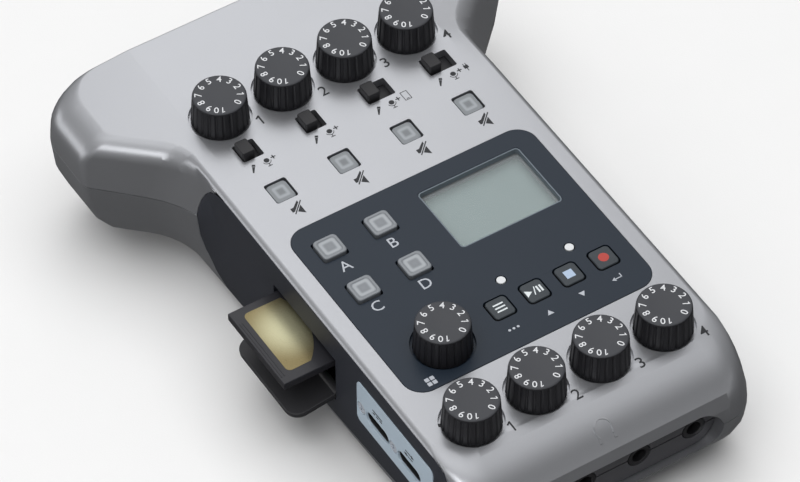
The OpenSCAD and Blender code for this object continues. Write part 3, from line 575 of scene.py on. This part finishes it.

# The pads, too, take the lighter colour where the painted light is high.
pad_clear = coating("pad_clear", (0.11, 0.12, 0.135), 0.35, grain=0.03, relief=0.003, coat_weight=0.4,
                    coat_roughness=0.2, other=(0.3, 0.32, 0.34), share=lit)
pad_columns, pad_rows = (-24.7, -11.55), (1.1, -13.0)
pad_painted_light = ((0.82, 0.4), (0.77, 0.3), (0.73, 0.2), (0.68, 0.55), (0.6, 1.0),
              (0.48, 0.95), (0.38, 0.5), (0.3, 0.3), (0.08, 0.35))
for letter, (x, y) in zip("abcd", [(x, y) for y in pad_rows for x in pad_columns]):
    pad = key_shape(6, 6, 1, -1.4, 1.0, pad_painted_light, 0.1)
    bmesh.ops.translate(pad, vec=(x, y, 0), verts=pad.verts)
    piece(f"pad_{letter}", pad, f"sound_pad_{letter}_body", "key_smoke", pad_clear, f"sound_pad_{letter}")

key_grey = coating("key_grey", (0.034, 0.041, 0.048), 0.42, grain=0.05, relief=0.004)
key_row, key_top, gap_shade_level = -33.3, 0.3, -0.2
keys = (("menu_key", -2.35), ("play_key", 6.667), ("stop_key", 15.683), ("record_key", 24.7))
for node, x in keys:
    key = key_shape(5.3, 5.6, key_top, -1.4, 1.0, ((0.1, 0.0),))
    # The key sides below a level are black: painted shade in the gap around each key.
    for f in key.faces:
        f.material_index = int(f.calc_center_median().z < gap_shade_level)
    bmesh.ops.translate(key, vec=(x, key_row, 0), verts=key.verts)
    piece(node.replace("_key", "_button"), key, node + "_body", "key_grey", (key_grey, black), node)


# Slide switches: black moulded caps that run in slots of the cover, at rest at the left end.
# Each has a flange under the cover and a tongue that reaches into a switch on the board.
for i in range(4):
    node = f"input_switch_{i + 1}"
    dress(f"slide_cap_{i + 1}", node, node + "_body", "switch_black", black, 0.25)


# Knobs: black mouldings with flutes around them and a printed dial on the slightly dished top.
# Each has a moulded spindle that turns in a rotary control, and its foot stands in a round pocket.
knob_black = coating("knob_black", (0.015, 0.015, 0.018), 0.45, grain=0.1, grain_size=0.15, relief=0.01)
knob_top = coating("knob_top", (0.043, 0.045, 0.051), 0.5, grain=0.08, grain_size=0.12, relief=0.006)
white_ink = coating("white_ink", (0.62, 0.63, 0.65), 0.5, grain=0.02, relief=0.002)
knob_profile = ((0, -7.3), (3, -7.3), (3, -0.6), (6.5, -0.6), (6.7, -0.4), (6.24, 6.55), (6.2, 6.85),
                (6.1, 7.13), (5.9, 7.3), (5.65, 7.35), (3.6, 7.35), (3.0, 7.29), (2.0, 7.22), (1.0, 7.18),
                (0, 7.17))
knob_height, knob_foot, top_edge = 7.35, 6.7, 7.15
flutes, steps_per_flute, flute_radius, flute_lift = 24, 8, 0.42, 0.12
flute_low, flute_high, flute_inside = -0.5, 6.7, 5


def knob_shape():
    """A turned knob with flutes cut into its side. Its top has the second finish."""
    shape = bmesh.new()
    line = [shape.verts.new((r, 0, z)) for r, z in knob_profile]
    for a, b in zip(line, line[1:]):
        shape.edges.new((a, b))
    bmesh.ops.spin(shape, geom=shape.verts[:] + shape.edges[:], axis=(0, 0, 1), cent=(0, 0, 0),
                   steps=flutes * steps_per_flute, angle=2 * math.pi, use_merge=True)
    bmesh.ops.remove_doubles(shape, verts=shape.verts, dist=0.0005)
    bmesh.ops.recalc_face_normals(shape, faces=shape.faces)
    pitch = 2 * math.pi / flutes
    for v in shape.verts:
        if flute_low < v.co.z < flute_high and v.co.xy.length > flute_inside:
            off = abs((math.atan2(v.co.y, v.co.x) + pitch) % pitch - pitch / 2) * knob_foot
            depth = math.sqrt(max(flute_radius ** 2 - off ** 2, 0)) - flute_lift
            if depth > 0:
                v.co.xy *= 1 - depth / v.co.xy.length
    for f in shape.faces:
        f.material_index = int(f.calc_center_median().z > top_edge)
    return shape


def ink(shape, outline, place=(0, 0, 0), turn=0.0, thick=0.03):
    """Adds a flat patch of ink: an outline, turned and set on a place."""
    patch = bmesh.new()
    patch.faces.new([patch.verts.new((x, y, 0)) for x, y in outline])
    lift = bmesh.ops.extrude_face_region(patch, geom=patch.faces[:])
    bmesh.ops.translate(patch, vec=(0, 0, thick),
                        verts=[v for v in lift["geom"] if isinstance(v, bmesh.types.BMVert)])
    bmesh.ops.recalc_face_normals(patch, faces=patch.faces)
    join(shape, patch, Matrix.Translation(place) @ Matrix.Rotation(turn, 4, "Z"))


def stroke(shape, first, last, width, place=(0, 0, 0), turn=0.0):
    """Adds a straight line of ink from one point to another."""
    along = Vector((last[0] - first[0], last[1] - first[1])).normalized() * width / 2
    side = Vector((-along.y, along.x))
    a, b = Vector(first) - along * 0.5, Vector(last) + along * 0.5
    ink(shape, [a + side, a - side, b - side, b + side], place, turn)


def lettering(shape, words, tall, place, turn=0.0, weight=0.0, thick=0.03):
    """Adds ink in the shape of digits or letters, centred on a place."""
    mover = Matrix.Translation(place) @ Matrix.Rotation(turn, 4, "Z")
    step, cap_height = tall * 0.82, 0.7
    for k, sign in enumerate(words):
        shift = Matrix.Translation(((k - (len(words) - 1) / 2) * step, 0, 0))
        if sign == "1":
            wide = tall * 0.12 + weight * 2
            for first, last in (((0, -0.45), (0, 0.45)), ((0, 0.43), (-0.26, 0.24))):
                stroke(shape, [c * tall for c in first], [c * tall for c in last], wide,
                       (mover @ shift).translation, turn)
            continue
        curve = bpy.data.curves.new("ink", "FONT")
        curve.body, curve.size, curve.offset = sign, tall / cap_height, weight
        curve.extrude, curve.resolution_u = thick / 2, 3
        text = bpy.data.objects.new("ink", curve)
        mesh = bpy.data.meshes.new_from_object(text)
        ends = [[f(v.co[k] for v in mesh.vertices) for f in (min, max)] for k in (0, 1)]
        mesh.transform(mover @ shift @ Matrix.Translation((-sum(ends[0]) / 2, -sum(ends[1]) / 2, thick / 2)))
        shape.from_mesh(mesh)
        bpy.data.objects.remove(text)
        bpy.data.curves.remove(curve)
        bpy.data.meshes.remove(mesh)
    bmesh.ops.remove_doubles(shape, verts=shape.verts, dist=0.0005)


gain_row, phones_row = 48, -56.6
knobs = [(f"gain_knob_{i + 1}", x, gain_row) for i, x in enumerate(channels)]
knobs += [(f"phones_knob_{i + 1}", x, phones_row) for i, x in enumerate(channels)]
knobs.append(("pad_level_knob", -18.4, -35.2))
dial_radius, dial_start, dial_step = 4.75, -60, 30
dial = bmesh.new()
for number in range(11):
    turn = math.radians(dial_start + dial_step * number)
    place = (dial_radius * math.cos(turn), dial_radius * math.sin(turn), knob_height)
    lettering(dial, str(number), 1.7, place, turn - math.pi / 2, 0.01)
for node, x, y in knobs:
    knob = knob_shape()
    bmesh.ops.translate(knob, vec=(x, y, 0), verts=knob.verts)
    piece(node + "_cap", knob, node + "_body", "knob_black", (knob_black, knob_top), node)
    digits = dial.copy()
    bmesh.ops.translate(digits, vec=(x, y, 0), verts=digits.verts)
    piece(node + "_digits", digits, node + "_body", "knob_black", white_ink)
dial.free()


# Printed signs: channel numbers and plain signs on the cover and the left plate in dark ink, letters
# and signs on the slate panel in pale ink, and signs on the transport keys, all a few hundredths of a
# millimetre thick. The headphone sign at the front is moulded on the cover and stands up from it.
def ring_of(shape, radius, width, place, start=0.0, end=360.0, steps=24):
    """Adds an arc of ink around a place."""
    angles = [math.radians(start + (end - start) * k / steps) for k in range(steps + 1)]
    outer, inner = radius + width / 2, radius - width / 2
    for a, b in zip(angles, angles[1:]):
        corners = ((outer, a), (outer, b), (inner, b), (inner, a))
        ink(shape, [(r * math.cos(t), r * math.sin(t)) for r, t in corners], place)


def round_patch(radius, steps=24):
    """Points around a circle."""
    return [(radius * math.cos(2 * math.pi * k / steps), radius * math.sin(2 * math.pi * k / steps))
            for k in range(steps)]


dark_ink = coating("dark_ink", (0.02, 0.021, 0.024), 0.5, grain=0.03, relief=0.002)
pale_ink = coating("pale_ink", (0.4, 0.42, 0.46), 0.5, grain=0.02, relief=0.002)
cover_ink = bmesh.new()
for i, x in enumerate(channels):
    for place in ((x + 7.3, gain_row - 5.6, 0), (x + 6.6, phones_row - 5.8, 0)):
        lettering(cover_ink, str(i + 1), 2.9, place, weight=0.02)
    handheld = (x - 1.8, 30.5, 0)
    ink(cover_ink, [(-0.16, -1.3), (0.16, -1.3), (0.34, 0.5), (-0.34, 0.5)], handheld, math.radians(-30))
    ink(cover_ink, [(-0.42, 0.62), (0.42, 0.62), (0.36, 1.2), (-0.36, 1.2)], handheld, math.radians(-30))
    upright = (x + 1.95, 31, 0)
    ink(cover_ink, round_patch(0.66), (x + 1.95, 31.1, 0))
    ring_of(cover_ink, 0.98, 0.16, upright, 190, 350, 10)
    stroke(cover_ink, (0, -0.95), (0, -1.6), 0.2, upright)
    stroke(cover_ink, (-0.5, -1.65), (0.5, -1.65), 0.2, upright)
    for first, last in (((-0.55, 0), (0.55, 0)), ((0, -0.55), (0, 0.55))):
        stroke(cover_ink, first, last, 0.26, (x + 3.75, 31.3, 0))
    speaker = (x + 0.3, 15.2, 0)
    ink(cover_ink, [(-1.5, -0.6), (-0.95, -0.6), (1.1, 1.45), (1.1, 2.1), (-0.7, 0.6), (-1.5, 0.6)], speaker)
    ink(cover_ink, [(1.1, 0.55), (-0.345, -0.895), (1.1, -2.1)], speaker)
    stroke(cover_ink, (-1.15, -1.25), (1.8, 1.7), 0.28, speaker)
handset = [(0.8 * a, 1.3 * b) for a, b in ((-1, -1), (1, -1), (1, 1), (-1, 1))]
handset_place = (14.1, 31.2, 0)
for first, last in zip(handset, handset[1:] + handset[:1]):
    stroke(cover_ink, first, last, 0.16, handset_place)
stroke(cover_ink, (-0.3, -0.95), (0.3, -0.95), 0.16, handset_place)
plug = (30.4, 31.4, 0)
ink(cover_ink, [(-0.55, -0.5), (0.55, -0.5), (0.55, 0.5), (-0.55, 0.5)], plug)
for first, last in (((-0.28, 0.5), (-0.28, 1.05)), ((0.28, 0.5), (0.28, 1.05)), ((0, -0.5), (0, -1.3))):
    stroke(cover_ink, first, last, 0.18, plug)
nose_start, nose_step = -60.5, 0.4
for k in range(12):
    bmesh.ops.bisect_plane(cover_ink, geom=cover_ink.verts[:] + cover_ink.edges[:] + cover_ink.faces[:],
                           dist=0.0001, plane_co=(0, nose_start - nose_step * k, 0), plane_no=(0, 1, 0))


def cover_height(v):
    """The height of the cover under a vertex."""
    return cover_top.ray_cast(Vector((v.co.x, v.co.y, 6)), Vector((0, 0, -1)))[0].z


sunk = 0.005
for v in cover_ink.verts:
    v.co.z += cover_height(v) - sunk
piece("cover_signs", cover_ink, "case", "case_silver", dark_ink)

emboss = bmesh.new()
headphones = (-0.8, -71.7, 0)
ring_of(emboss, 2.1, 0.4, headphones, -40, 220)
cushion = ((-0.35, -0.7), (0.35, -0.7), (0.35, 0.7), (-0.35, 0.7))
for side in (-1, 1):
    ink(emboss, [(side * 1.9 + a, -1.5 + b) for a, b in cushion], headphones)
relief, root = 0.2, -0.05
for v in emboss.verts:
    v.co.z = cover_height(v) + (relief if v.co.z > 0.01 else root)
piece("headphone_sign", emboss, "case", "case_silver", silver)

plate_face = min((panel.inverted() @ v.co).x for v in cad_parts["port_plate_left"].data.vertices)
plate_y, plate_z = -44.9, -12.2
on_plate = Matrix(((0, 0, -1, plate_face + sunk), (-1, 0, 0, plate_y), (0, 1, 0, plate_z), (0, 0, 0, 1)))
plate_ink = bmesh.new()
power, data = (-6.9, 2.3, 0), (5.9, 2.3, 0)
stroke(plate_ink, (-1.9, 0.4), (1.9, 0.4), 0.34, power)
for x in (-1.4, 0, 1.4):
    stroke(plate_ink, (x - 0.4, -0.4), (x + 0.4, -0.4), 0.34, power)
for way in (-1, 1):
    stroke(plate_ink, (-1.4 * way, 0.55 * way), (0.9 * way, 0.55 * way), 0.3, data)
    ink(plate_ink, [(2 * way, 0.55 * way), (0.9 * way, 1.05 * way), (0.9 * way, 0.05 * way)], data)
bmesh.ops.transform(plate_ink, matrix=on_plate, verts=plate_ink.verts)
piece("plate_signs", plate_ink, "case", "plate_blue", dark_ink)

panel_ink = bmesh.new()
level = 0.095
for letter, x, y in (("A", -24.4, -4.9), ("B", -11.9, -4.7), ("C", -24.7, -18.5), ("D", -12.2, -18.6)):
    lettering(panel_ink, letter, 2.9, (x, y, level))
for x, y, turn in ((6.1, -40.2, 0), (15.1, -39.5, math.pi)):
    ink(panel_ink, [(-0.8, -0.55), (0.8, -0.55), (0, 0.75)], (x, y, level), turn)
for dx in (-1.1, 0, 1.1):
    ink(panel_ink, round_patch(0.32), (-3 + dx, -39.8, level))
enter = (24, -39.6, level)
stroke(panel_ink, (1.1, 0.7), (1.1, -0.3), 0.24, enter)
stroke(panel_ink, (1.1, -0.3), (-0.7, -0.3), 0.24, enter)
ink(panel_ink, [(-1.4, -0.3), (-0.5, -0.85), (-0.5, 0.25)], enter)
for dx in (-0.64, 0.64):
    for dy in (-0.64, 0.64):
        ink(panel_ink, rounded_outline(1.02, 1.02, 0.15), (-26.2 + dx, -42.7 + dy, level))
piece("panel_signs", panel_ink, "case", "panel_slate", pale_ink)

key_ink = coating("key_ink", (0.62, 0.66, 0.7), 0.45, grain=0.02, relief=0.002)
red_ink = coating("red_ink", (0.38, 0.045, 0.035), 0.4, grain=0.03, relief=0.002)
blue_ink = coating("blue_ink", (0.36, 0.45, 0.58), 0.4, grain=0.02, relief=0.002)
enlarge = Matrix.Diagonal((1.3, 1.3, 1, 1))
for (node, x), colour in zip(keys, (key_ink, key_ink, blue_ink, red_ink)):
    sign = bmesh.new()
    if node == "menu_key":
        for y in (-0.75, 0, 0.75):
            stroke(sign, (-0.9, y), (0.9, y), 0.3)
    elif node == "play_key":
        ink(sign, [(-1.75, -0.75), (-0.55, 0), (-1.75, 0.75)])
        stroke(sign, (-0.35, -0.8), (0.25, 0.8), 0.18)
        for bar in (0.65, 1.25):
            stroke(sign, (bar, -0.65), (bar, 0.65), 0.34)
    elif node == "stop_key":
        ink(sign, [(-0.85, -0.85), (0.85, -0.85), (0.85, 0.85), (-0.85, 0.85)])
    else:
        ink(sign, round_patch(0.95))
    bmesh.ops.transform(sign, matrix=move(x, key_row, key_top - 0.01) @ enlarge, verts=sign.verts)
    piece(node.replace("_key", "_sign"), sign, node + "_body", "key_grey", colour)
